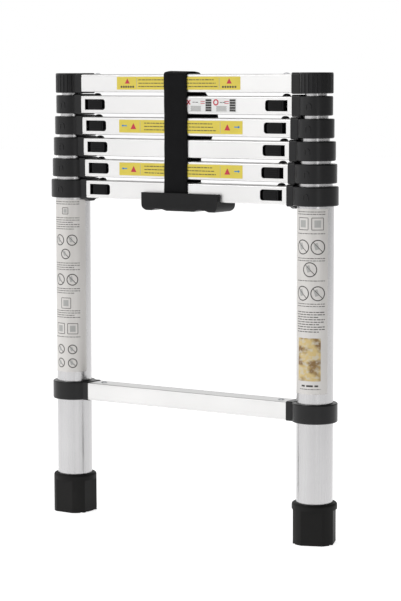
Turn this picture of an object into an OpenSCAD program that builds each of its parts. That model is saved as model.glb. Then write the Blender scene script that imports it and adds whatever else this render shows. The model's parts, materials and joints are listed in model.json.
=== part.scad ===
// Telescoping ladder, pushed together.
// Five pairs of tubes slide up out of the outer pair. Each pair carries a rung at its top.
// The origin is on the floor, midway between the two stiles. +X runs along the rungs to the
// right, +Y to the back and +Z up the stiles. Sections are numbered from the top: section 1 is
// the innermost pair of tubes with the top rung, section 6 is the outer pair that stands on the
// feet, and rung 7 is fixed near the floor.

/* [Ladder] */
// Distance between the centre lines of the two stiles
stile_gap = 404; // [370:2:460]
// Height of the centre of the fixed bottom rung
bottom_rung_z = 179; // [150:1:200]
// Distance between two rungs when the ladder is pulled out
rung_spacing = 292; // [280:1:300]
// Distance between two rungs when the ladder is pushed together
stack_pitch = 30; // [29:0.5:34]

/* [Tubes] */
// Outer diameter of the innermost tube
inner_tube_d = 30; // [28:1:34]
// Growth in diameter from one tube to the next
tube_step = 4; // [3.8:0.1:5]
// Wall thickness of every tube
tube_wall = 1.4; // [1:0.1:1.5]
// Length of an inner tube that stays below its lock hole
tube_overlap = 70; // [50:5:90]

/* [Collars and caps] */
// Height of the round part of a collar
collar_height = 26; // [22:1:27]
// Thickness of a collar around its tube
collar_wall = 6; // [5:0.5:8]
// Length of the neck between a collar and the end of its rung
neck_reach = 5; // [4:0.5:8]
// Gap between the necks of two stacked rungs
neck_gap = 0.4; // [0.3:0.1:1]
// Diameter of a top cap
cap_d = 47; // [44:1:52]
// Number of grooves around a top cap
cap_grooves = 24; // [16:2:36]

/* [Rungs] */
// Height of a rung
rung_height = 25; // [22:0.5:26]
// Depth of a rung from front to back
rung_depth = 32.5; // [30:0.5:36]
// Wall thickness of a rung
rung_wall = 1.6; // [1.2:0.1:2]

/* [Locks] */
// Length of the slot that the thumb slider moves in
slot_length = 35; // [34:0.5:38]
// Height of the slot
slot_height = 15; // [14:0.5:15]
// Distance from the rung's end to the slot
slot_inset = 6.4; // [6:0.1:9]
// Length of the thumb slider
slider_length = 24; // [22:0.5:24]
// Diameter of a lock pin
pin_d = 8; // [6:0.5:9]
// Distance between a pin's tip and the inner tube when the ladder is pushed together
pin_tip_gap = 0.3; // [0.3:0.1:0.6]

/* [Handle and strap] */
// Length of the carry handle
handle_length = 126; // [110:2:140]
// Distance from the ladder's middle to the handle's middle
handle_x = -3; // [-20:1:20]
// Depth of the handle's grip below the rung
grip_drop = 14; // [12:1:20]
// Width of the strap
strap_width = 38; // [30:1:50]
// Distance from the ladder's middle to the strap's middle
strap_x = -12; // [-25:1:15]
// Thickness of the strap's webbing
strap_thickness = 1.5; // [1:0.1:2]

/* [Feet] */
// Diameter of a foot
foot_d = 62; // [60:0.5:62]
// Distance between opposite flats of a foot
foot_flats = 55; // [54:0.5:60]
// Height of a foot
foot_height = 56; // [50:1:70]
// How far the left foot is turned on its tube
left_foot_turn = 0; // [-20:1:25]
// How far the right foot is turned on its tube
right_foot_turn = 22; // [-20:1:25]

/* [Hidden] */
SECTIONS = 6;
BOTTOM_RUNG = 7;
LOCKED = [2:SECTIONS];
SIDES = ["left", "right"];

$fn = 96;
CUT = 1;                       // how far a cutting solid runs past what it cuts
FIT = 0.1;                     // gap between pieces of one section that are fixed together
RUN = 0.3;                     // gap between pieces that slide past each other

half_gap = stile_gap / 2;
travel = rung_spacing - stack_pitch;
stack_z = bottom_rung_z + rung_spacing;
shell_edge = 1.6;              // rounding of the edges of collars, caps and brackets
lip_height = 2.5;              // the collar's lip over its tube's upper end
cap_height = stack_pitch - 2;
cap_top_step = 1.8;            // how far the cap's top stands above the top rung
cap_roof = 4;

rung_corner = 2;
rung_inside_corner = 0.6;
rung_inside_depth = rung_depth - 2 * rung_wall;
rung_inside_height = rung_height - 2 * rung_wall;
rung_front = -rung_depth / 2;
trim_groove = 0.9;             // width of the trim grooves along the rung's faces
trim_groove_inset = 2.9;

neck_height = stack_pitch - neck_gap;
neck_corner = 3;
neck_bite = 0.8;                // how far a neck reaches into its round shell
bracket_neck_height = rung_height + 2;
spigot_length = 26;            // plain spigot of a cap or a bracket inside its rung
rivet_inset = 17;              // from the rung's end to its rivet
rivet_r = 2.4;
rivet_head_r = 4.8;
rivet_head_height = 1.8;

pin_hole_gap = 0.5;            // round the pin in the hole of the pulled-out tube
lock_stroke = 5.5;             // outward, into that hole
slider_play = 0.5;
release_stroke = slot_length - slider_length - lock_stroke - 2 * slider_play;
slider_rest = slot_inset + slider_play + lock_stroke;
housing_wall = 4;
housing_back = slot_inset + slot_length + 3.6;
housing_length = housing_back + 3;
carrier_lap = 0.45;            // how far the carrier reaches past the slot above and below
carrier_play = 0.25;
carrier_height = slot_height + 2 * carrier_lap;
channel_height = carrier_height + 2 * carrier_play;
carrier_back = 6;
slot_corner = 4;
slider_proud = 0.6;
slider_rib = 1.2;              // height of a grip rib
slider_rib_proud = 0.9;
slider_rib_pitch = 2.8;
slider_ribs = 4;
pin_grip = 9;                  // length of the pin inside the slider
spring_r = 3.8;
spring_wire_r = 0.8;
spring_pocket = 8;
spring_coils = 12;

plug_flange = 3;
plug_height = 12;
plug_wall = 3;

handle_plate = 7;              // thickness of the handle's front and back plates
handle_lap = 11;               // how far the plates cover the rung
groove_r = 26;                 // finger grooves
groove_depth = 3;
groove_x = handle_length * 0.28; // from the handle's middle to each groove and its screw
handle_end_r = 10;             // lower corners
handle_edge_r = 5.6;
handle_edge_cut = 0.6;         // how far the flat underside cuts into the rounded edges
screw_r = 2;
screw_head_r = 4;
screw_head_height = 2.6;
screw_length = 12;

strap_slack = 0.4;             // gap between the strap and the rungs
strap_corner = 4;

foot_floor = 5;                // rubber under the tube's lower end
foot_rim = 9;                  // round stretch above the flats
foot_rounding = 3.5;           // of the upper edge
foot_core = 24;                // rubber core inside the tube's lower end
tread_depth = 2;
tread_width = 4;
tread_pitch = 9;

// Sizes that differ from section to section
function tube_r(n) = (inner_tube_d + tube_step * (n - 1)) / 2;
function rung_z(n) = n == BOTTOM_RUNG ? bottom_rung_z : stack_z + stack_pitch * (SECTIONS - n);
function collar_r(n) = tube_r(min(n, SECTIONS)) + collar_wall;
function shell_r(n) = n == 1 ? cap_d / 2 : collar_r(n);
function rung_offset(n) = shell_r(n) + neck_reach;
function rung_length(n) = stile_gap - 2 * rung_offset(n);
function tube_top(n) = n == 1
    ? rung_z(1) + rung_height / 2 + cap_top_step - cap_roof
    : rung_z(n) + collar_height / 2 - lip_height;
function lock_hole_z(n) = rung_z(n + 1) - travel;
function tube_bottom(n) = n == SECTIONS ? foot_floor : lock_hole_z(n) - tube_overlap;
function neck_start(n) = sqrt(pow(shell_r(n), 2) - pow(rung_depth / 2, 2)) - neck_bite;
function pin_tip(n) = tube_r(n - 1) + pin_tip_gap;

// ---- helpers ----

// Places its children at one stile, with local +X towards the ladder's middle
module at_stile(side) {
    if (side == "left") translate([-half_gap, 0, 0]) children();
    else translate([half_gap, 0, 0]) mirror([1, 0, 0]) children();
}

module at_both_stiles() {
    for (side = SIDES) at_stile(side) children();
}

// Extrudes a front-to-back outline along +X
module along_x(length) {
    rotate([90, 0, 90]) linear_extrude(length) children();
}

// Extrudes a front-view outline towards the front, starting at y
module towards_front(y, length) {
    translate([0, y, 0]) rotate([90, 0, 0]) linear_extrude(length) children();
}

module rounded_rect(width, height, r) {
    square([width - 2 * r, height], center = true);
    square([width, height - 2 * r], center = true);
    for (x = [-1, 1])
        for (y = [-1, 1])
            translate([x * (width / 2 - r), y * (height / 2 - r)]) circle(r);
}

// Outline standing on y = 0, whose round bottom corners meet the flat at a slight angle
module round_bottom_rect(width, height, r) {
    intersection() {
        translate([0, -handle_edge_cut]) {
            translate([-width / 2, r]) square([width, height]);
            translate([r - width / 2, 0]) square([width - 2 * r, height]);
            for (x = [-1, 1]) translate([x * (width / 2 - r), r]) circle(r);
        }
        translate([-width / 2, 0]) square([width, height]);
    }
}

// Outline with a square outer end at x = 0 and round corners at the inner end
module slider_outline(length, height) {
    r = slot_corner;
    translate([0, -height / 2]) square([length - r, height]);
    translate([0, r - height / 2]) square([length, height - 2 * r]);
    for (z = [-1, 1]) translate([length - r, z * (height / 2 - r)]) circle(r);
}

// Upright cylinder with both edges rounded, starting at z = 0
module soft_cylinder(r, height, edge) {
    rotate_extrude() {
        square([r - edge, height]);
        translate([0, edge]) square([r, height - 2 * edge]);
        for (z = [edge, height - edge]) translate([r - edge, z]) circle(edge);
    }
}

module x_cylinder(r, length) {
    rotate([0, 90, 0]) cylinder(r = r, h = length);
}

// ---- tubes ----

module stile_tubes(n) {
    r = tube_r(n);
    color([0.78, 0.79, 0.80])
    at_both_stiles()
    difference() {
        translate([0, 0, tube_bottom(n)]) cylinder(r = r, h = tube_top(n) - tube_bottom(n));
        translate([0, 0, tube_bottom(n) - CUT])
            cylinder(r = r - tube_wall, h = tube_top(n) - tube_bottom(n) + 2 * CUT);
        if (n > 1) translate([0, 0, rung_z(n)]) x_cylinder(pin_d / 2 + RUN, r + CUT);
        if (n < SECTIONS) translate([0, 0, lock_hole_z(n)]) x_cylinder(pin_d / 2 + pin_hole_gap, r + CUT);
    }
}

// Slides inside the next tube and closes the lower end of its own
module guide_plugs(n) {
    inside_r = tube_r(n) - tube_wall - FIT;
    color([0.2, 0.2, 0.21])
    at_both_stiles()
    translate([0, 0, tube_bottom(n)])
    difference() {
        union() {
            translate([0, 0, -plug_flange]) cylinder(r = tube_r(n) + RUN, h = plug_flange);
            cylinder(r = inside_r, h = plug_height);
        }
        translate([0, 0, -plug_flange - CUT])
            cylinder(r = inside_r - plug_wall, h = plug_flange + plug_height + 2 * CUT);
    }
}

// ---- rungs ----

module rung_outline() {
    difference() {
        rounded_rect(rung_depth, rung_height, rung_corner);
        rounded_rect(rung_inside_depth, rung_inside_height, rung_inside_corner);
        for (y = [-1, 1])
            for (z = [-1, 1])
                translate([y * rung_depth / 2, z * (rung_height / 2 - trim_groove_inset)])
                    square([trim_groove, trim_groove], center = true);
    }
}

module rung(n) {
    top_face = rung_z(n) + rung_height / 2;
    bottom_face = rung_z(n) - rung_height / 2;
    color([0.86, 0.87, 0.88])
    difference() {
        translate([-rung_length(n) / 2, 0, rung_z(n)]) along_x(rung_length(n)) rung_outline();
        if (n == 1 || n == BOTTOM_RUNG)
            at_both_stiles()
            translate([rung_offset(n) + rivet_inset, 0, top_face - rung_wall - CUT])
                cylinder(r = rivet_r + FIT, h = rung_wall + 2 * CUT);
        else
            at_both_stiles()
            translate([rung_offset(n) + slot_inset, 0, rung_z(n)])
                towards_front(rung_front + rung_wall + CUT, rung_wall + 2 * CUT)
                slider_outline(slot_length, slot_height);
        if (n == SECTIONS)
            for (x = [-1, 1])
                translate([handle_x + x * groove_x, 0, bottom_face - CUT])
                    cylinder(r = screw_r + FIT, h = rung_wall + 2 * CUT);
    }
}

// Solid spigot that fills a rung's end
module spigot(n, length) {
    translate([rung_offset(n) - CUT, 0, 0])
        along_x(length + CUT)
        rounded_rect(
            rung_inside_depth - 2 * FIT, rung_inside_height - 2 * FIT, rung_inside_corner
        );
}

// ---- collars, caps and brackets ----

module neck(n, height) {
    translate([neck_start(n), 0, 0])
        along_x(rung_offset(n) - neck_start(n) - FIT)
        rounded_rect(rung_depth, height, neck_corner);
}

// Spigot with the open channel that the slider runs in
module lock_housing(n) {
    difference() {
        spigot(n, housing_length);
        translate([rung_offset(n) + housing_wall, -rung_depth / 2, -channel_height / 2])
            cube([
                housing_back - housing_wall,
                rung_depth / 2 + carrier_back + RUN,
                channel_height,
            ]);
    }
}

// Tongue under the neck of the lowest collar
module neck_tongue() {
    drop = 3;
    rise = 1;
    length = 7;
    top_half = rung_depth / 2 - neck_corner;
    tip_half = rung_depth / 6;
    translate([neck_start(SECTIONS) + neck_bite, 0, -neck_height / 2])
        along_x(length)
        polygon([[-top_half, rise], [top_half, rise], [tip_half, -drop], [-tip_half, -drop]]);
}

module collars(n) {
    ring_bottom = -collar_height / 2;
    color([0.17, 0.17, 0.18])
    at_both_stiles()
    translate([0, 0, rung_z(n)])
    difference() {
        union() {
            translate([0, 0, ring_bottom]) soft_cylinder(collar_r(n), collar_height, shell_edge);
            neck(n, neck_height);
            lock_housing(n);
            if (n == SECTIONS) neck_tongue();
        }
        translate([0, 0, ring_bottom - stack_pitch])
            cylinder(r = tube_r(n) + FIT, h = collar_height - lip_height + stack_pitch);
        translate([0, 0, ring_bottom]) cylinder(r = tube_r(n - 1) + RUN, h = stack_pitch * 2);
        x_cylinder(pin_d / 2 + RUN, rung_offset(n) + housing_wall + CUT);
    }
}

// Upright grooves around a cap, up to its plain rim
module grooves_around_cap(height) {
    flute_r = 1.4;
    for (i = [0:cap_grooves - 1])
        rotate((i + 0.5) * 360 / cap_grooves)
        translate([cap_d / 2 + flute_r / 4, 0, -CUT])
        cylinder(r = flute_r, h = height + CUT);
}

module top_cap(side) {
    top = rung_height / 2 + cap_top_step;
    rim = 2.5;
    color([0.17, 0.17, 0.18])
    at_stile(side)
    translate([0, 0, rung_z(1)])
    difference() {
        union() {
            translate([0, 0, top - cap_height])
            difference() {
                soft_cylinder(cap_d / 2, cap_height, shell_edge);
                grooves_around_cap(cap_height - rim);
            }
            neck(1, 2 * top);
            spigot(1, spigot_length);
        }
        translate([0, 0, top - cap_height - CUT])
            cylinder(r = tube_r(1) + FIT, h = cap_height - cap_roof + CUT);
        translate([rung_offset(1) + rivet_inset, 0, 0]) cylinder(r = rivet_r + FIT, h = rung_height);
    }
}

module bottom_bracket(side) {
    ring_bottom = -collar_height / 2;
    color([0.17, 0.17, 0.18])
    at_stile(side)
    translate([0, 0, rung_z(BOTTOM_RUNG)])
    difference() {
        union() {
            translate([0, 0, ring_bottom]) soft_cylinder(collar_r(SECTIONS), collar_height, shell_edge);
            neck(BOTTOM_RUNG, bracket_neck_height);
            spigot(BOTTOM_RUNG, spigot_length);
        }
        translate([0, 0, ring_bottom - 2 * CUT])
            cylinder(r = tube_r(SECTIONS) + FIT, h = collar_height + 4 * CUT);
        translate([rung_offset(BOTTOM_RUNG) + rivet_inset, 0, 0])
            cylinder(r = rivet_r + FIT, h = rung_height);
    }
}

// Dome heads on the rung, shanks into the spigots
module rung_rivets(n) {
    head_z = rung_z(n) + rung_height / 2;
    dome_r = (pow(rivet_head_r, 2) + pow(rivet_head_height, 2)) / (2 * rivet_head_height);
    color([0.7, 0.71, 0.73])
    at_both_stiles()
    translate([rung_offset(n) + rivet_inset, 0, head_z]) {
        intersection() {
            translate([0, 0, rivet_head_height - dome_r]) sphere(dome_r);
            cylinder(r = rivet_head_r + CUT, h = rivet_head_height + CUT);
        }
        translate([0, 0, -rung_height / 2])
            cylinder(r = rivet_r, h = (rung_height + rivet_head_height) / 2);
    }
}

// ---- locks ----

// Thumb pad in the slot, with a carrier behind the rung's front wall
module slider(n, side) {
    inner_front = rung_front + rung_wall;
    carrier_front = inner_front + RUN;
    rib_start = 2.5;
    color([0.13, 0.13, 0.14])
    at_stile(side)
    translate([rung_offset(n) + slider_rest, 0, rung_z(n)])
    difference() {
        union() {
            towards_front(carrier_front + CUT, -rung_front + carrier_front + slider_proud + CUT)
                slider_outline(slider_length, slot_height - 2 * RUN);
            for (i = [0:slider_ribs - 1])
                translate([
                    rib_start,
                    rung_front - slider_proud - slider_rib_proud,
                    (i - (slider_ribs - 1) / 2) * slider_rib_pitch - slider_rib / 2,
                ])
                    cube([slider_length - 2 * rib_start, slider_rib_proud + slider_proud, slider_rib]);
            translate([0, carrier_front, -carrier_height / 2])
                cube([slider_length, carrier_back - carrier_front, carrier_height]);
        }
        translate([-CUT, 0, 0]) x_cylinder(pin_d / 2 + FIT, pin_grip + CUT);
        translate([slider_length - spring_pocket, 0, 0])
            x_cylinder(spring_r + spring_wire_r + RUN, spring_pocket + CUT);
    }
}

// Runs from the slider through the collar and the outer tube to the inner tube
module lock_pin(n, side) {
    inner_end = rung_offset(n) + slider_rest + pin_grip;
    tip = 1;
    color([0.72, 0.73, 0.75])
    at_stile(side)
    translate([pin_tip(n), 0, rung_z(n)])
    rotate([0, 90, 0]) {
        cylinder(r1 = pin_d / 2 - tip, r2 = pin_d / 2, h = tip);
        translate([0, 0, tip]) cylinder(d = pin_d, h = inner_end - pin_tip(n) - tip - FIT);
    }
}

// Closely wound coils between the slider's pocket and the housing's back wall
module lock_springs(n) {
    spring_start = rung_offset(n) + slider_rest + slider_length - spring_pocket + FIT;
    spring_end = rung_offset(n) + housing_back - FIT;
    pitch = (spring_end - spring_start - 2 * spring_wire_r) / (spring_coils - 1);
    color([0.6, 0.61, 0.63])
    at_both_stiles()
    translate([spring_start + spring_wire_r, 0, rung_z(n)])
    rotate([0, 90, 0])
    rotate_extrude()
    for (i = [0:spring_coils - 1]) translate([spring_r, i * pitch]) circle(spring_wire_r);
}

// ---- carry handle and strap ----

module grip_outline() {
    height = grip_drop + handle_lap;
    difference() {
        translate([handle_x, -grip_drop]) round_bottom_rect(handle_length, height, handle_end_r);
        for (x = [-1, 1])
            translate([handle_x + x * groove_x, -grip_drop - groove_r + groove_depth])
                circle(groove_r);
    }
}

module carry_handle() {
    width = rung_depth + 2 * handle_plate;
    height = grip_drop + handle_lap;
    strap_room = 0.5;
    bottom_face = rung_z(SECTIONS) - rung_height / 2;
    head_z = groove_depth - grip_drop;
    color([0.11, 0.11, 0.12])
    translate([0, 0, bottom_face])
    difference() {
        intersection() {
            towards_front(width / 2, width) grip_outline();
            translate([handle_x - handle_length, 0, -grip_drop])
                along_x(2 * handle_length) round_bottom_rect(width, height, handle_edge_r);
        }
        translate([handle_x - handle_length, -rung_depth / 2 - FIT, -FIT])
            cube([2 * handle_length, rung_depth + 2 * FIT, rung_height]);
        translate([
            strap_x - strap_width / 2 - strap_room,
            -rung_depth / 2 - strap_slack - strap_thickness - strap_room,
            -strap_slack - strap_thickness - strap_room,
        ])
            cube([
                strap_width + 2 * strap_room,
                rung_depth + 2 * (strap_slack + strap_thickness + strap_room),
                rung_height,
            ]);
        for (x = [-1, 1]) translate([handle_x + x * groove_x, 0, head_z - CUT]) {
            cylinder(r = screw_r + FIT, h = grip_drop + 2 * CUT);
            cylinder(r = screw_head_r + FIT, h = screw_head_height + CUT);
        }
    }
}

module handle_screws() {
    recess = 0.4;
    head_z = rung_z(SECTIONS) - rung_height / 2 - grip_drop + groove_depth + recess;
    color([0.6, 0.6, 0.62])
    for (x = [-1, 1]) translate([handle_x + x * groove_x, 0, head_z]) {
        cylinder(r = screw_head_r, h = screw_head_height - recess);
        cylinder(r = screw_r, h = screw_length);
    }
}

// Loop of webbing around the stacked rungs
module carry_strap() {
    inside_depth = rung_depth + 2 * strap_slack;
    low = rung_z(SECTIONS) - rung_height / 2 - strap_slack;
    high = rung_z(1) + rung_height / 2 + strap_slack;
    color([0.06, 0.06, 0.07])
    translate([strap_x - strap_width / 2, 0, (low + high) / 2])
    along_x(strap_width)
    difference() {
        rounded_rect(
            inside_depth + 2 * strap_thickness, high - low + 2 * strap_thickness, strap_corner
        );
        rounded_rect(inside_depth, high - low, strap_corner - strap_thickness);
    }
}

// ---- feet ----

// Round sleeve with four flats below its rim
module foot_body() {
    flats_height = foot_height - foot_rim;
    difference() {
        union() {
            translate([0, 0, foot_height / 2]) soft_cylinder(foot_d / 2, foot_height / 2, foot_rounding);
            cylinder(d = foot_d, h = foot_height - foot_rim);
        }
        difference() {
            translate([-foot_d, -foot_d, -CUT]) cube([2 * foot_d, 2 * foot_d, flats_height + CUT]);
            translate([0, 0, -2 * CUT])
                linear_extrude(flats_height + 4 * CUT) square(foot_flats, center = true);
        }
    }
}

module foot(side) {
    color([0.1, 0.1, 0.1])
    translate([side == "left" ? -half_gap : half_gap, 0, 0])
    rotate(side == "left" ? left_foot_turn : right_foot_turn)
    difference() {
        foot_body();
        difference() {
            translate([0, 0, foot_floor]) cylinder(r = tube_r(SECTIONS) + FIT, h = foot_height);
            cylinder(r = tube_r(SECTIONS) - tube_wall - FIT, h = foot_core);
        }
        for (y = [-2, -1, 1, 2])
            translate([-foot_d, y * tread_pitch - tread_width / 2, -CUT])
                cube([2 * foot_d, tread_width, tread_depth + CUT]);
    }
}

// ---- nodes ----

for (n = [1:SECTIONS]) stile_tubes(n);
for (n = [1:BOTTOM_RUNG]) rung(n);
for (n = LOCKED) collars(n);
for (n = [1:SECTIONS - 1]) guide_plugs(n);
for (s = SIDES) top_cap(s);
for (s = SIDES) bottom_bracket(s);
for (s = SIDES) foot(s);
for (n = LOCKED) for (s = SIDES) slider(n, s);
for (n = LOCKED) for (s = SIDES) lock_pin(n, s);
for (n = LOCKED) lock_springs(n);
rung_rivets(1);  // top_rung_rivets
rung_rivets(BOTTOM_RUNG);  // bottom_rung_rivets
carry_handle();
handle_screws();
carry_strap();
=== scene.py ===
"""Telescoping ladder, pushed together, with its labels, bumpers and carry strap.

Every place and size comes from the CAD frame's boxes. Lengths are in metres, with MM for the
small ones. +X runs along the rungs, -Y is the front and +Z is up the stiles.
"""
import json
import math

import bmesh
import bpy
from mathutils import Matrix, Vector


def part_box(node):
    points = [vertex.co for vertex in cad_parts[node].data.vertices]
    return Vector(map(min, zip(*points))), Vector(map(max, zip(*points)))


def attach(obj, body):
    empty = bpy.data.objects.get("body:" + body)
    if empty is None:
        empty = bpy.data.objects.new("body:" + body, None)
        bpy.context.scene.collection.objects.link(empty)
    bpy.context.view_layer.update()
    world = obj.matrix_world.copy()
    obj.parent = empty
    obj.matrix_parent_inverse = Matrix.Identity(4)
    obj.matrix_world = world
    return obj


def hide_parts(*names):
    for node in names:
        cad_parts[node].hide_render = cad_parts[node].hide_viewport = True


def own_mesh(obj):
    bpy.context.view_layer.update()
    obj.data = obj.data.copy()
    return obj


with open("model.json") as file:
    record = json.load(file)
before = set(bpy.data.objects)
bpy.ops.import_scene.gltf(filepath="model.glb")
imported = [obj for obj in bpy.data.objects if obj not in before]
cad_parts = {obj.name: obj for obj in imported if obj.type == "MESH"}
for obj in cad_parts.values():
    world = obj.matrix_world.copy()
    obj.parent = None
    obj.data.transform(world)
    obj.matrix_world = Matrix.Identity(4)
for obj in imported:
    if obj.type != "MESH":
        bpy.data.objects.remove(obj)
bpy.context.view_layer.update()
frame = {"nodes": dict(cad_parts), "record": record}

MM = 0.001
SIDES = {"left": -1, "right": 1}
LOCKED = range(2, 7)            # the sections with a slider and a pin at each end
BOTTOM_RUNG = 7


# ---------------------------------------------------------------- frame places

def body_of_section(n):
    return "outer_section" if n in (6, BOTTOM_RUNG) else f"section_{n}"


def rung_box(n):
    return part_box(f"rung_{n}")


def rung_z(n):
    low, high = rung_box(n)
    return (low.z + high.z) / 2


TUBE_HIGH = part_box("stile_tubes_6")[1]
TUBE_R = TUBE_HIGH.y
STILE_X = TUBE_HIGH.x - TUBE_R
RUNG_FRONT = rung_box(1)[0].y
RUNG_BACK = rung_box(1)[1].y


def collar_r(n):
    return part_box(f"collars_{n}")[1].x - STILE_X


# ---------------------------------------------------------------- shader helpers

def node(tree, kind, **inputs):
    made = tree.nodes.new(kind)
    for name, value in inputs.items():
        made.inputs[name.replace("_", " ")].default_value = value
    return made


def object_coordinates(tree, scale, source="Object"):
    mapping = node(tree, "ShaderNodeMapping", Scale=scale)
    coordinates = tree.nodes.new("ShaderNodeTexCoord")
    tree.links.new(coordinates.outputs[source], mapping.inputs["Vector"])
    return mapping.outputs["Vector"]


def noise(tree, scale, detail=3.0):
    """Noise in the object's own space. Scale is in cycles per metre along each axis."""
    made = node(tree, "ShaderNodeTexNoise", Scale=1.0, Detail=detail)
    tree.links.new(object_coordinates(tree, scale), made.inputs["Vector"])
    return made.outputs["Fac"]


def spread(tree, value, low, high, from_low=0.3, from_high=0.7):
    made = tree.nodes.new("ShaderNodeMapRange")
    made.inputs["From Min"].default_value = from_low
    made.inputs["From Max"].default_value = from_high
    made.inputs["To Min"].default_value = low
    made.inputs["To Max"].default_value = high
    tree.links.new(value, made.inputs["Value"])
    return made.outputs["Result"]


def mixed_colour(tree, value, low, high):
    made = tree.nodes.new("ShaderNodeMix")
    made.data_type = "RGBA"
    made.inputs["A"].default_value = (*low, 1)
    made.inputs["B"].default_value = (*high, 1)
    tree.links.new(value, made.inputs["Factor"])
    return made.outputs["Result"]


def maths(tree, operation, first, second):
    made = tree.nodes.new("ShaderNodeMath")
    made.operation = operation
    for socket, value in zip(made.inputs, (first, second)):
        if isinstance(value, (int, float)):
            socket.default_value = value
        else:
            tree.links.new(value, socket)
    return made.outputs[0]


def bump(tree, shader, height, depth, strength):
    made = node(tree, "ShaderNodeBump", Strength=strength, Distance=depth)
    tree.links.new(height, made.inputs["Height"])
    tree.links.new(made.outputs["Normal"], shader.inputs["Normal"])


def new_material(name):
    material = bpy.data.materials.new(name)
    material.use_nodes = True
    return material, material.node_tree, material.node_tree.nodes["Principled BSDF"]


def link_colour(tree, shader, colour):
    tree.links.new(colour, shader.inputs["Base Color"])


# ---------------------------------------------------------------- materials

def brushed_metal(name, colour, lines, roughness):
    """Drawn or brushed metal. lines is the noise scale: low along the lines, high across."""
    material, tree, shader = new_material(name)
    shader.inputs["Metallic"].default_value = 1.0
    fine = noise(tree, lines, detail=4)
    patches = noise(tree, (9, 9, 9))
    dark = tuple(c * 0.95 for c in colour)
    light = tuple(min(1, c * 1.03) for c in colour)
    link_colour(tree, shader, mixed_colour(tree, spread(tree, patches, 0, 1), dark, light))
    tree.links.new(spread(tree, fine, *roughness), shader.inputs["Roughness"])
    bump(tree, shader, fine, 0.006 * MM, 0.5)
    return material


def moulded_plastic(
    name, colour, grain, roughness, grain_depth=0.02 * MM, worn=1.5, gloss=0.3,
):
    """Black plastic with a fine moulded grain and slightly lighter rubbed patches."""
    material, tree, shader = new_material(name)
    patches = noise(tree, (25, 25, 25), detail=4)
    rubbed = tuple(c * worn for c in colour)
    link_colour(tree, shader, mixed_colour(tree, spread(tree, patches, 0, 1), colour, rubbed))
    tree.links.new(spread(tree, patches, *roughness), shader.inputs["Roughness"])
    shader.inputs["Specular IOR Level"].default_value = gloss
    bump(tree, shader, noise(tree, (grain,) * 3, detail=2), grain_depth, 0.6)
    return material


def webbing_material(name, colour):
    """Ribs run across the strap, with finer warp threads along it. UV is in metres."""
    material, tree, shader = new_material(name)
    shader.inputs["Roughness"].default_value = 0.8
    shader.inputs["Specular IOR Level"].default_value = 0.08
    shader.inputs["Sheen Weight"].default_value = 0.05
    shader.inputs["Sheen Roughness"].default_value = 0.5
    split = tree.nodes.new("ShaderNodeSeparateXYZ")
    tree.links.new(object_coordinates(tree, (1, 1, 1), "UV"), split.inputs["Vector"])
    across, along = split.outputs["X"], split.outputs["Y"]
    warp_pitch, rib_pitch = 1.3 * MM, 1.8 * MM
    warp = maths(tree, "SINE", maths(tree, "MULTIPLY", across, 2 * math.pi / warp_pitch), 0)
    half_step = maths(tree, "MULTIPLY", maths(tree, "SIGN", warp, 0), math.pi / 2)
    phase = maths(tree, "MULTIPLY", along, 2 * math.pi / rib_pitch)
    weft = maths(tree, "SINE", maths(tree, "ADD", phase, half_step), 0)
    warp_round = maths(tree, "ABSOLUTE", warp, 0)
    height = maths(tree, "ADD", maths(tree, "MULTIPLY", weft, 0.5), warp_round)
    dust = noise(tree, (60, 60, 60), detail=4)
    # Painted shade: the colour follows the weave height, so the raised threads get the lighter colour as
    # painted light and the hollows between them keep the dark colour as painted shade. The dust noise
    # varies this at random.
    light = tuple(c * 2.2 for c in colour)
    raised = spread(tree, height, 0, 1, -0.3, 1.4)
    dust_and_painted_weave_shade = maths(tree, "MULTIPLY", raised, spread(tree, dust, 0.5, 1))
    link_colour(tree, shader, mixed_colour(tree, dust_and_painted_weave_shade, colour, light))
    bump(tree, shader, height, 0.15 * MM, 0.8)
    return material


def printed_film(name, colour):
    """Sticker film or its ink, with slight unevenness."""
    material, tree, shader = new_material(name)
    patches = noise(tree, (70, 70, 70), detail=4)
    dark = tuple(c * 0.93 for c in colour)
    link_colour(tree, shader, mixed_colour(tree, spread(tree, patches, 0, 1), dark, colour))
    tree.links.new(spread(tree, patches, 0.32, 0.42), shader.inputs["Roughness"])
    bump(tree, shader, noise(tree, (900, 900, 900)), 0.004 * MM, 0.4)
    return material


def clear_film(name):
    """Pale wrap label: the metal's silver shows through its white ink."""
    material, tree, shader = new_material(name)
    patches = noise(tree, (40, 40, 15), detail=4)
    dark, light = (0.62, 0.60, 0.58), (0.68, 0.66, 0.64)
    colour = mixed_colour(tree, spread(tree, patches, 0, 1), dark, light)
    link_colour(tree, shader, colour)
    shader.inputs["Metallic"].default_value = 0.35
    tree.links.new(spread(tree, patches, 0.3, 0.4), shader.inputs["Roughness"])
    return material


def picture_film(name):
    """Abstract brown and olive patches in place of a printed picture."""
    material, tree, shader = new_material(name)
    wide = noise(tree, (55, 55, 75), detail=1)
    fine = noise(tree, (160, 160, 200), detail=3)
    brown, olive = (0.23, 0.13, 0.04), (0.62, 0.47, 0.2)
    base = mixed_colour(tree, spread(tree, wide, 0, 1, 0.42, 0.58), brown, olive)
    made = tree.nodes.new("ShaderNodeMix")
    made.data_type = "RGBA"
    tree.links.new(spread(tree, fine, 0, 0.8, 0.45, 0.65), made.inputs["Factor"])
    tree.links.new(base, made.inputs["A"])
    made.inputs["B"].default_value = (0.6, 0.56, 0.46, 1)
    link_colour(tree, shader, made.outputs["Result"])
    tree.links.new(spread(tree, fine, 0.3, 0.42), shader.inputs["Roughness"])
    return material


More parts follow.
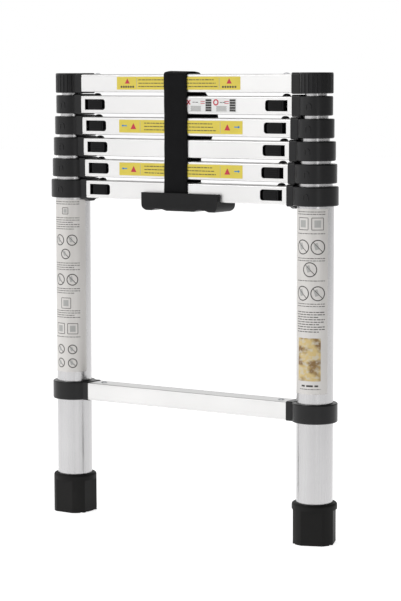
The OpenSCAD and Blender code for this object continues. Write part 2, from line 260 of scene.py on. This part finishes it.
TUBE_METAL = (0.53, 0.525, 0.53)
RUNG_METAL = (0.76, 0.755, 0.75)
MATERIALS = {
    "tube_aluminium": brushed_metal("tube_metal", TUBE_METAL, (900, 900, 4), (0.20, 0.30)),
    "rung_aluminium": brushed_metal("rung_metal", RUNG_METAL, (5, 1100, 1100), (0.30, 0.44)),
    "collar_plastic": moulded_plastic("collar_black", (0.006, 0.006, 0.0065), 2200, (0.26, 0.36)),
    "slider_plastic": moulded_plastic(
        "slider_black", (0.005, 0.005, 0.0055), 2600, (0.36, 0.5), gloss=0.14,
    ),
    "plug_plastic": moulded_plastic("plug_black", (0.02, 0.02, 0.021), 1800, (0.4, 0.5)),
    "handle_plastic": moulded_plastic(
        "handle_black", (0.009, 0.009, 0.0095), 1500, (0.36, 0.5), 0.04 * MM, gloss=0.15,
    ),
    "foot_rubber": moulded_plastic(
        "foot_black", (0.007, 0.0068, 0.0065), 1300, (0.5, 0.65), 0.04 * MM, 1.9, gloss=0.16,
    ),
    "bumper_rubber": moulded_plastic("bumper_black", (0.01, 0.01, 0.01), 1600, (0.5, 0.65)),
    "pin_steel": brushed_metal("pin_metal", (0.6, 0.61, 0.63), (40, 1500, 1500), (0.22, 0.34)),
    "spring_steel": brushed_metal("spring_metal", (0.4, 0.41, 0.43), (600, 600, 600), (0.3, 0.45)),
    "rivet_steel": brushed_metal("rivet_metal", (0.55, 0.56, 0.58), (700, 700, 700), (0.28, 0.42)),
    "screw_steel": brushed_metal("screw_metal", (0.5, 0.51, 0.53), (500, 500, 500), (0.3, 0.45)),
    "webbing": webbing_material("webbing_black", (0.004, 0.004, 0.0045)),
}
YELLOW = printed_film("film_yellow", (0.74, 0.60, 0.07))
WHITE = printed_film("film_white", (0.80, 0.80, 0.79))
PALE = clear_film("film_pale")
RED = printed_film("ink_red", (0.55, 0.02, 0.05))
DARK = printed_film("ink_dark", (0.035, 0.032, 0.03))
GREY = printed_film("ink_grey", (0.42, 0.42, 0.41))
BLUE = printed_film("ink_blue", (0.03, 0.25, 0.6))
PICTURE = picture_film("ink_picture")


def finish_cad_nodes():
    slots = {s["node"]: s["material_slot"] for s in frame["record"]["subparts"]}
    for name, obj in frame["nodes"].items():
        obj.data.materials.clear()
        obj.data.materials.append(MATERIALS[slots[name]])


# ---------------------------------------------------------------- mesh helpers

def make_object(name, bm, material, body, smooth=True):
    bmesh.ops.recalc_face_normals(bm, faces=bm.faces[:])
    mesh = bpy.data.meshes.new(name)
    bm.to_mesh(mesh)
    bm.free()
    mesh.materials.append(material)
    for polygon in mesh.polygons:
        polygon.use_smooth = smooth
    obj = bpy.data.objects.new(name, mesh)
    bpy.context.scene.collection.objects.link(obj)
    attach(obj, body)
    return obj


def add_slab(bm, grid, place, low, high, ring=False):
    """Adds a closed thin slab over rows of (u, v) points. In a ring each row closes on itself."""
    rows, columns = len(grid), len(grid[0])
    top = [[bm.verts.new(place(u, v, high)) for u, v in row] for row in grid]
    under = [[bm.verts.new(place(u, v, low)) for u, v in row] for row in grid]
    steps = columns if ring else columns - 1
    for j in range(steps):
        k = (j + 1) % columns
        for i in range(rows - 1):
            bm.faces.new((top[i][j], top[i][k], top[i + 1][k], top[i + 1][j]))
            bm.faces.new((under[i][j], under[i + 1][j], under[i + 1][k], under[i][k]))
        for i in (0, rows - 1):
            bm.faces.new((top[i][j], top[i][k], under[i][k], under[i][j]))
    if not ring:
        for j in (0, columns - 1):
            for i in range(rows - 1):
                bm.faces.new((top[i][j], top[i + 1][j], under[i + 1][j], under[i][j]))


def bar(u, v, width, height, turn=0.0, steps=None):
    """A rectangle about (u, v), turned by turn radians."""
    steps = steps or max(1, round(width / (2 * MM)))
    c, s = math.cos(turn), math.sin(turn)
    rows = []
    for b in (-height / 2, height / 2):
        across = [(i / steps - 0.5) * width for i in range(steps + 1)]
        rows.append([(u + a * c - b * s, v + a * s + b * c) for a in across])
    return rows


def rounded_bar(u, v, width, height, corner, steps=None):
    steps = steps or max(8, round(width / (2.5 * MM)))
    rows = []
    quarter = [i * math.pi / 10 for i in range(6)]
    levels = [(-height / 2 + corner * (1 - math.sin(a)), corner * (1 - math.cos(a))) for a in quarter[::-1]]
    levels += [(-b, inset) for b, inset in reversed(levels)]
    for b, inset in levels:
        half = width / 2 - inset
        rows.append([(u + (2 * i / steps - 1) * half, v + b) for i in range(steps + 1)])
    return rows


def triangle(u, v, width, height):
    peak = width * 0.04
    return [
        [(u - width / 2, v - height / 2), (u + width / 2, v - height / 2)],
        [(u - peak, v + height / 2), (u + peak, v + height / 2)],
    ]


def circle_ring(u, v, inner, outer, steps=32):
    turns = [2 * math.pi * i / steps for i in range(steps)]
    return [[(u + r * math.cos(a), v + r * math.sin(a)) for a in turns] for r in (inner, outer)]


def swept_tube(points, r, sides=8):
    """A closed tube mesh along points."""
    bm = bmesh.new()
    rings = []
    for i, point in enumerate(points):
        ahead = (points[min(i + 1, len(points) - 1)] - points[max(i - 1, 0)]).normalized()
        side = ahead.cross(Vector((0, 0, 1)))
        side = side.normalized() if side.length > 0.1 else Vector((1, 0, 0))
        up = side.cross(ahead)
        turns = [2 * math.pi * k / sides for k in range(sides)]
        rings.append([bm.verts.new(point + r * (math.cos(t) * side + math.sin(t) * up)) for t in turns])
    for a, b in zip(rings, rings[1:]):
        for k in range(sides):
            bm.faces.new((a[k], a[(k + 1) % sides], b[(k + 1) % sides], b[k]))
    bm.faces.new(rings[0])
    bm.faces.new(rings[-1])
    return bm


def turned(profile, centre, steps=32):
    """A solid of revolution about +Z from (r, z) points that start and end on the axis."""
    bm = bmesh.new()
    rings = []
    for r, z in profile:
        if r == 0:
            rings.append([bm.verts.new(centre + Vector((0, 0, z)))])
            continue
        turns = [2 * math.pi * k / steps for k in range(steps)]
        rings.append([bm.verts.new(centre + Vector((r * math.cos(t), r * math.sin(t), z))) for t in turns])
    for a, b in zip(rings, rings[1:]):
        for k in range(steps):
            corners = [a[k % len(a)], a[(k + 1) % len(a)], b[(k + 1) % len(b)], b[k % len(b)]]
            bm.faces.new(list(dict.fromkeys(corners)))
    return bm


# ---------------------------------------------------------------- printed labels

FILM = 0.10 * MM
INK = 0.05 * MM
SINK = 0.03 * MM               # how far a slab's underside sits in what it lies on


class Label:
    """A film with inks on it. place maps (u, v, height above the surface) to a point."""

    def __init__(self, name, place, body):
        self.name, self.place, self.body = name, place, body
        self.inks = {}

    def film(self, grid, material):
        bm = bmesh.new()
        add_slab(bm, grid, self.place, -SINK, FILM)
        make_object(self.name + "_film", bm, material, self.body, smooth=False)

    def ink(self, material, grid, ring=False):
        bm = self.inks.setdefault(material.name, (material, bmesh.new()))[1]
        add_slab(bm, grid, self.place, FILM - SINK, FILM + INK, ring)

    def text_line(self, u, v, width, height, seed):
        """A line of dashes that stands for small print."""
        at = u - width / 2
        end = u + width / 2
        i = seed
        while at < end - height:
            word = min(height * (2.2 + 3.4 * ((i * 7) % 5) / 4), end - at)
            self.ink(DARK, bar(at + word / 2, v, word, height, steps=max(1, round(word / (2 * MM)))))
            at += word + height * 0.9
            i += 1

    def done(self):
        for name, (material, bm) in self.inks.items():
            make_object(f"{self.name}_{name}", bm, material, self.body, smooth=False)


def on_rung(n):
    z = rung_z(n)
    return lambda u, v, h: Vector((u, RUNG_FRONT - h, z + v))


def on_tube(side):
    """u runs round the tube from its front line, towards +X."""
    x = SIDES[side] * STILE_X

    def place(u, v, h):
        turn = u / TUBE_R
        r = TUBE_R + h
        return Vector((x + r * math.sin(turn), -r * math.cos(turn), v))
    return place


def yellow_label(n, centre, arrows):
    """Long yellow sticker: a red triangle and a divider at each end, small print between."""
    width, height = 205 * MM, 18 * MM
    divider_inset = (36 if arrows else 34) * MM
    print_inset = (43 if arrows else 37) * MM
    label = Label(f"rung_{n}_label", on_rung(n), body_of_section(n))
    label.film(rounded_bar(centre, 0, width, height, 0.8 * MM), YELLOW)
    for end in (-1, 1):
        edge = centre + end * width / 2
        if arrows:
            label.ink(RED, triangle(edge - end * 24.5 * MM, 0, 9.5 * MM, 8 * MM))
            label.ink(BLUE, bar(edge - end * 10 * MM, 0.6 * MM, 7 * MM, 1.5 * MM))
            tip = edge - end * 4.2 * MM
            tail = tip - end * 3 * MM
            label.ink(BLUE, [[(tip, 0.4 * MM), (tail, -1.4 * MM)], [(tip, 0.8 * MM), (tail, 2.6 * MM)]])
        else:
            middle = edge - end * 18 * MM
            label.ink(RED, triangle(middle, 2.8 * MM, 8.5 * MM, 6.8 * MM))
            for i in range(6):
                label.ink(DARK, bar(middle + (i - 2.5) * 4 * MM, -5 * MM, 2.8 * MM, 2.6 * MM))
        label.ink(GREY, bar(edge - end * divider_inset, 0, 0.6 * MM, height - 3 * MM, steps=1))
    print_low = centre - width / 2 + print_inset
    print_high = centre + width / 2 - print_inset
    line_step, line_height = 4.6 * MM, 1.1 * MM
    for i, ragged in enumerate((6 * MM, 3 * MM, 0)):
        length = print_high - print_low - ragged
        label.text_line(print_low + length / 2, (1 - i) * line_step, length, line_height, n + i)
    label.done()


def lock_guide_label(n):
    """White sticker: a cross and a ring above grey panels, each beside a dark striped block."""
    low, high = -3 * MM, 87 * MM
    height = 19 * MM
    label = Label(f"rung_{n}_label", on_rung(n), body_of_section(n))
    label.film(rounded_bar((low + high) / 2, 0, high - low, height, 2 * MM), WHITE)
    symbol_z = 4 * MM
    for is_cross, symbol, block in ((True, 9.5 * MM, 42 * MM), (False, 54 * MM, 81 * MM)):
        if is_cross:
            for turn in (0.9, -0.9):
                label.ink(RED, bar(symbol, symbol_z, 8 * MM, 1.7 * MM, turn))
        else:
            label.ink(RED, circle_ring(symbol, symbol_z, 2.6 * MM, 4.4 * MM), ring=True)
        label.text_line(symbol + 11 * MM, symbol_z, 9 * MM, 0.9 * MM, 1)
        panel = (symbol + block) / 2 - 4.5 * MM
        for i in range(5):
            label.ink(GREY, bar(panel, (-1.6 - 1.5 * i) * MM, (17 - i % 2) * MM, 1.1 * MM))
        for v in (5.2, 2.6):
            label.ink(RED, bar(block - 9.5 * MM, v * MM, 7 * MM, 0.9 * MM))
        for i in range(5):
            label.ink(DARK, bar(block, (i - 2) * 3.4 * MM, 9.6 * MM, 2.9 * MM))
    label.done()


def slashed_circle(label, u, v, r):
    label.ink(DARK, circle_ring(u, v, r - 1.3 * MM, r), ring=True)
    label.ink(DARK, bar(u, v, 2 * r - 1.2 * MM, 0.9 * MM, -math.pi / 4))
    label.ink(GREY, bar(u - r * 0.2, v + r * 0.1, r * 0.55, r * 0.9, 0.3, steps=3))


def framed_square(label, u, v, side):
    label.ink(GREY, bar(u, v, side * 0.55, side * 0.6, 0.0, steps=3))
    for k in (-1, 1):
        label.ink(DARK, bar(u, v + k * side / 2, side, 0.8 * MM))
        label.ink(DARK, bar(u + k * side / 2, v, 0.8 * MM, side - 0.8 * MM, steps=1))


def wrap_film(label, low_turn, high_turn, bottom, top):
    low, high = (math.radians(t) * TUBE_R for t in (low_turn, high_turn))
    label.film(rounded_bar((low + high) / 2, (bottom + top) / 2, high - low, top - bottom, 2 * MM), PALE)


def small_print(label, middle, top, lines, step, width, height, seed=0):
    """Lines of small print from z = top downwards, every third one short."""
    for i in range(lines):
        short = width * 0.2 if i % 3 == 2 else 0
        z = (top - step * i) * MM
        label.text_line(middle - short / 2 * MM, z, (width - short) * MM, height * MM, seed + i)


def signs(label, middle, shape, z, size, apart):
    """One sign, or a pair when apart is not 0, at height z."""
    for u in (-apart / 2, apart / 2) if apart else (0,):
        shape(label, middle + u * MM, z * MM, size * MM)


def left_wrap():
    """Slashed circles and framed squares between lines of small print. Lengths in mm."""
    label = Label("left_tube_label", on_tube("left"), "outer_section")
    wrap_film(label, -76, 81, 206 * MM, 455 * MM)
    middle = math.radians(9) * TUBE_R
    for shape, z, size, apart in (
        (framed_square, 439, 9, 0), (slashed_circle, 397, 8, 20), (slashed_circle, 377, 7.5, 0),
        (slashed_circle, 340, 8.5, 20), (framed_square, 306, 15, 0), (framed_square, 269, 15, 20),
        (slashed_circle, 239, 7, 19), (slashed_circle, 219, 7, 19),
    ):
        signs(label, middle, shape, z, size, apart)
    for top, lines in ((452, 2), (429, 6), (364, 4), (327, 3), (295, 4), (257, 1)):
        small_print(label, middle, top, lines, 3.2, 42, 0.9, lines)
    label.done()


def right_wrap():
    """The same on the other tube, with a picture block near its lower end."""
    label = Label("right_tube_label", on_tube("right"), "outer_section")
    wrap_film(label, -76, 72, 206 * MM, 455 * MM)
    middle = math.radians(13) * TUBE_R
    for shape, z, size, apart in (
        (framed_square, 435, 16, 21), (slashed_circle, 404, 10, 22), (slashed_circle, 374, 10, 0),
        (slashed_circle, 342, 10, 22),
    ):
        signs(label, middle, shape, z, size, apart)
    for top, lines in ((451, 2), (422, 1), (389, 2), (359, 1), (328, 2)):
        small_print(label, middle, top, lines, 3.2, 42, 0.9, lines)
    small_print(label, middle, 317, 9, 3.3, 42, 1.1)
    low, high = (math.radians(t) * TUBE_R for t in (-30, 48))
    label.ink(PICTURE, rounded_bar((low + high) / 2, 253 * MM, high - low, 58 * MM, 0.6 * MM))
    small_print(label, middle, 217.5, 1, 1, 24, 2.4)
    small_print(label, middle, 213, 1, 1, 30, 0.9)
    label.done()


# ---------------------------------------------------------------- small rubber and plastic pieces

def rung_bumpers():
    """Rubber buttons that keep the stacked rungs apart."""
    from_end = 17 * MM
    base_r, height = 6.2 * MM, 3.6 * MM
    profile = [(0, -0.2 * MM), (base_r, -0.2 * MM), (base_r, 0.5 * MM)]
    profile += [
        (base_r * 0.88 * math.cos(a), 0.5 * MM + (height - 0.5 * MM) * math.sin(a))
        for a in (math.pi / 2 * i / 7 for i in range(7))
    ]
    profile.append((0, height))
    slot = "bumper_rubber"
    for n in LOCKED:
        high = rung_box(n)[1]
        for side, sign in SIDES.items():
            bm = turned(profile, Vector((sign * (high.x - from_end), 0, high.z)))
            make_object(f"bumper_{n}_{side}", bm, MATERIALS[slot], body_of_section(n))


def collar_marks():
    """A raised arch on the front of each collar."""
    half_width, leg, r = 3.4 * MM, 5 * MM, 0.65 * MM
    turn_at = {"left": math.radians(0), "right": math.radians(5)}
    for n in LOCKED:
        for side, sign in SIDES.items():
            face_r = collar_r(n) + 0.1 * MM
            outline = [(-half_width, -leg), (-half_width, -leg / 2), (-half_width, 0)]
            outline += [
                (-half_width * math.cos(a), half_width * math.sin(a))
                for a in (math.pi * i / 12 for i in range(1, 12))
            ]
            outline += [(half_width, 0), (half_width, -leg / 2), (half_width, -leg)]
            points = []
            for u, v in outline:
                turn = turn_at[side] + u / face_r
                points.append(Vector((
                    sign * STILE_X + face_r * math.sin(turn), -face_r * math.cos(turn), rung_z(n) + v,
                )))
            name = f"collar_mark_{n}_{side}"
            bm = swept_tube(points, r)
            make_object(name, bm, MATERIALS["collar_plastic"], body_of_section(n))


# ---------------------------------------------------------------- strap

STRAP_LOW, STRAP_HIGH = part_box("carry_strap")
STRAP_X = (STRAP_LOW.x + STRAP_HIGH.x) / 2
STRAP_WIDTH = STRAP_HIGH.x - STRAP_LOW.x
WEB_THICKNESS = 1.4 * MM


def webbing(name, centres, outwards, across, width, closed):
    """Webbing through centre points. outwards and across are its unit directions at each one."""
    section = []
    half, thick = width / 2, WEB_THICKNESS / 2
    flat = [-1, -0.94, -0.5, 0, 0.5, 0.94, 1]
    section += [(f * half, thick * (0.45 if abs(f) == 1 else 1)) for f in flat]
    section += [(f * half, -thick * (0.45 if abs(f) == 1 else 1)) for f in reversed(flat)]
    bm = bmesh.new()
    uv_layer = bm.loops.layers.uv.new("UVMap")
    along, rings = [0.0], []
    for a, b in zip(centres, centres[1:]):
        along.append(along[-1] + (b - a).length)
    for centre, out, side in zip(centres, outwards, across):
        rings.append([bm.verts.new(centre + s * side + t * out) for s, t in section])
    count, around = len(rings), len(section)
    for i in range(count if closed else count - 1):
        j = (i + 1) % count
        v_low = along[i]
        v_high = along[j] if j else along[i] + (centres[0] - centres[-1]).length
        for k in range(around):
            m = (k + 1) % around
            face = bm.faces.new((rings[i][k], rings[i][m], rings[j][m], rings[j][k]))
            u_low, u_high = section[k][0], section[m][0]
            corners = ((u_low, v_low), (u_high, v_low), (u_high, v_high), (u_low, v_high))
            for loop, uv in zip(face.loops, corners):
                loop[uv_layer].uv = uv
    if not closed:
        bm.faces.new(rings[0])
        bm.faces.new(rings[-1])
    return make_object(name, bm, MATERIALS["webbing"], "outer_section")


def strap_loop():
    """The loop round the stacked rungs, a little slack over the top rung."""
    clear = 1.2 * MM               # from the rungs to the middle of the webbing
    reach = -RUNG_FRONT + clear
    bottom = rung_box(6)[0].z - clear
    top = rung_box(1)[1].z + clear
    corner = 3 * MM
    bulge, bulge_height = 2.2 * MM, 10 * MM
    wave_depth, wave_length = 0.35 * MM, 30 * MM
    side_lean, side_twist = 0.8 * MM, 0.02
    route = []

    def line(a, b, pieces):
        for i in range(pieces):
            t = i / pieces
            route.append((a[0] + (b[0] - a[0]) * t, a[1] + (b[1] - a[1]) * t))

    def arc(centre, start, pieces=6):
        for i in range(pieces):
            a = math.radians(start - 90 * i / pieces)
            route.append((centre[0] + corner * math.cos(a), centre[1] + corner * math.sin(a)))

    line((-reach, bottom + corner), (-reach, top - corner), 60)
    arc((-reach + corner, top - corner), 180)
    line((-reach + corner, top), (reach - corner, top), 14)
    arc((reach - corner, top - corner), 90)
    line((reach, top - corner), (reach, bottom + corner), 60)
    arc((reach - corner, bottom + corner), 0)
    line((reach - corner, bottom), (-reach + corner, bottom), 10)
    arc((-reach + corner, bottom + corner), -90)

    centres, outwards, across = [], [], []
    count = len(route)
    for i, (y, z) in enumerate(route):
        ahead_y = route[(i + 1) % count][0] - route[i - 1][0]
        ahead_z = route[(i + 1) % count][1] - route[i - 1][1]
        out = Vector((0, -ahead_z, ahead_y)).normalized()
        share = (z - bottom) / (top - bottom)
        lift = wave = 0
        if z > top - corner:
            climb = max(0.0, (z - (top - bulge_height)) / bulge_height)
            lift = bulge * climb * math.cos(math.pi / 2 * y / (reach * 1.1))
        if abs(y) >= reach * 0.99:
            wave = wave_depth * (1 - math.cos(2 * math.pi * (z - bottom) / wave_length)) / 2
        lean = side_lean * math.sin(3 * share)
        centres.append(Vector((STRAP_X + lean, y, z + lift)) + out * wave)
        outwards.append(out)
        across.append(Vector((1, 0, side_twist * math.sin(5 * share))).normalized())
    strap = webbing("carry_strap_loop", centres, outwards, across, STRAP_WIDTH, closed=True)
    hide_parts("carry_strap")
    return strap


def smooth_route(points, per_piece=8):
    """Catmull-Rom curve through points."""
    padded = [2 * points[0] - points[1], *points, 2 * points[-1] - points[-2]]
    route = []
    for a, b, c, d in zip(padded, padded[1:], padded[2:], padded[3:]):
        for i in range(per_piece):
            t = i / per_piece
            square = (2 * a - 5 * b + 4 * c - d) * t * t
            cube = (3 * b - a - 3 * c + d) * t ** 3
            route.append(0.5 * (2 * b + (c - a) * t + square + cube))
    route.append(points[-1])
    return route


def strap_tail():
    """The loose end behind the rungs, which swings out to the right. Stops are in mm."""
    back = RUNG_BACK
    top = rung_box(1)[1].z
    stops = [
        (-2, 2.9, -8), (0, 3.4, -20), (8, 7.5, -34), (18, 11.5, -50), (22, 12.5, -64), (17, 9, -80),
        (12, 6, -94),
    ]
    points = [Vector((STRAP_X + x * MM, back + y * MM, top + z * MM)) for x, y, z in stops]
    route = smooth_route(points)
    outwards, across = [], []
    for i in range(len(route)):
        ahead = (route[min(i + 1, len(route) - 1)] - route[max(i - 1, 0)]).normalized()
        side = Vector((1, 0, 0))
        side = (side - side.dot(ahead) * ahead).normalized()
        across.append(side)
        outwards.append(side.cross(ahead) * -1)
    return webbing("carry_strap_tail", route, outwards, across, STRAP_WIDTH * 0.98, closed=False)


def make_strap():
    for piece in (strap_loop(), strap_tail()):
        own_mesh(piece)


# ---------------------------------------------------------------- lock springs

def make_springs():
    """Open coils in place of the closely wound stand-ins, pressed together by their sliders."""
    wire_r, coils, steps, stroke = 0.75 * MM, 8, 20, 4.5 * MM
    for n in LOCKED:
        low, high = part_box(f"lock_springs_{n}")
        stand_in = frame["nodes"][f"lock_springs_{n}"]
        inner = min(abs((stand_in.matrix_world @ v.co).x) for v in stand_in.data.vertices)
        outer = high.x
        coil_r = high.y - wire_r
        middle_z = (low.z + high.z) / 2
        length = outer - inner - 2 * wire_r
        for side, sign in SIDES.items():
            points = []
            for i in range(coils * steps + 1):
                turn = 2 * math.pi * i / steps
                x = sign * (inner + wire_r + length * i / (coils * steps))
                points.append(Vector((x, coil_r * math.cos(turn), middle_z + coil_r * math.sin(turn))))
            name = f"lock_spring_{n}_{side}"
            bm = swept_tube(points, wire_r)
            coil = make_object(name, bm, MATERIALS["spring_steel"], body_of_section(n))
            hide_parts(f"lock_springs_{n}")
            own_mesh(coil)


# ---------------------------------------------------------------- studio

def look_along(yaw, pitch, roll):
    forward = Vector((-math.sin(yaw) * math.cos(pitch), math.cos(yaw) * math.cos(pitch), -math.sin(pitch)))
    right = Vector((math.cos(yaw), math.sin(yaw), 0))
    up = right.cross(forward)
    right, up = right * math.cos(roll) + up * math.sin(roll), up * math.cos(roll) - right * math.sin(roll)
    return Matrix((right, up, -forward)).transposed().to_4x4()


def make_camera():
    data = bpy.data.cameras.new("camera")
    data.lens = 124.9
    data.sensor_width = 36
    data.clip_end = 50
    camera = bpy.data.objects.new("camera", data)
    yaw, pitch, roll = (math.radians(a) for a in (33.275, 6.096, -0.109))
    camera.matrix_world = Matrix.Translation((1.6023, -2.4147, 0.6283)) @ look_along(yaw, pitch, roll)
    bpy.context.scene.collection.objects.link(camera)
    bpy.context.scene.camera = camera


def area_light(name, place, aim, size, watts, colour=(1, 1, 1)):
    data = bpy.data.lights.new(name, "AREA")
    data.shape = "RECTANGLE"
    data.size, data.size_y = size
    data.energy = watts
    data.color = colour
    light = bpy.data.objects.new(name, data)
    light.location = place
    light.rotation_euler = (Vector(aim) - Vector(place)).to_track_quat("-Z", "Y").to_euler()
    bpy.context.scene.collection.objects.link(light)


def make_world():
    """White to look at. What lights the ladder is darker overhead and towards +X."""
    world = bpy.data.worlds.new("studio")
    world.use_nodes = True
    tree = world.node_tree
    split = tree.nodes.new("ShaderNodeSeparateXYZ")
    coordinates = tree.nodes.new("ShaderNodeTexCoord")
    tree.links.new(coordinates.outputs["Generated"], split.inputs["Vector"])
    side = spread(tree, split.outputs["X"], 1, 0.07, -0.35, 0.6)
    above = spread(tree, split.outputs["Z"], 1, 0.4, 0.3, 0.8)
    lighting = maths(tree, "MULTIPLY", side, above)
    to_camera = tree.nodes.new("ShaderNodeLightPath").outputs["Is Camera Ray"]
    strength = maths(tree, "MAXIMUM", lighting, to_camera)
    tree.links.new(strength, tree.nodes["Background"].inputs["Strength"])
    tree.nodes["Background"].inputs["Color"].default_value = (1, 1, 1, 1)
    bpy.context.scene.world = world


def make_lights():
    middle = (0, 0, 0.35)
    area_light("key", (-1.3, -2.4, 1.9), middle, (0.7, 1.8), 12)
    area_light("fill", (2.2, -2.0, 0.9), middle, (0.5, 2.0), 4)
    area_light("overhead", (0, 0.3, 2.6), middle, (2.2, 2.2), 12)


def make_floor():
    bm = bmesh.new()
    reach = 12
    bm.faces.new([bm.verts.new((x * reach, y * reach, 0)) for x, y in ((-1, -1), (1, -1), (1, 1), (-1, 1))])
    mesh = bpy.data.meshes.new("floor")
    bm.to_mesh(mesh)
    bm.free()
    material, _, shader = new_material("floor_paint")
    shader.inputs["Base Color"].default_value = (0.9, 0.9, 0.9, 1)
    shader.inputs["Emission Color"].default_value = (1, 1, 1, 1)
    shader.inputs["Emission Strength"].default_value = 0.75
    shader.inputs["Roughness"].default_value = 0.75
    mesh.materials.append(material)
    floor = bpy.data.objects.new("floor", mesh)
    bpy.context.scene.collection.objects.link(floor)


# ---------------------------------------------------------------- build

finish_cad_nodes()
yellow_label(1, -9 * MM, arrows=False)
yellow_label(3, -5.5 * MM, arrows=True)
yellow_label(5, -5.5 * MM, arrows=True)
lock_guide_label(2)
left_wrap()
right_wrap()
rung_bumpers()
collar_marks()
make_strap()
make_springs()
make_camera()
make_world()
make_lights()
make_floor()
bpy.context.scene.view_settings.view_transform = "Standard"
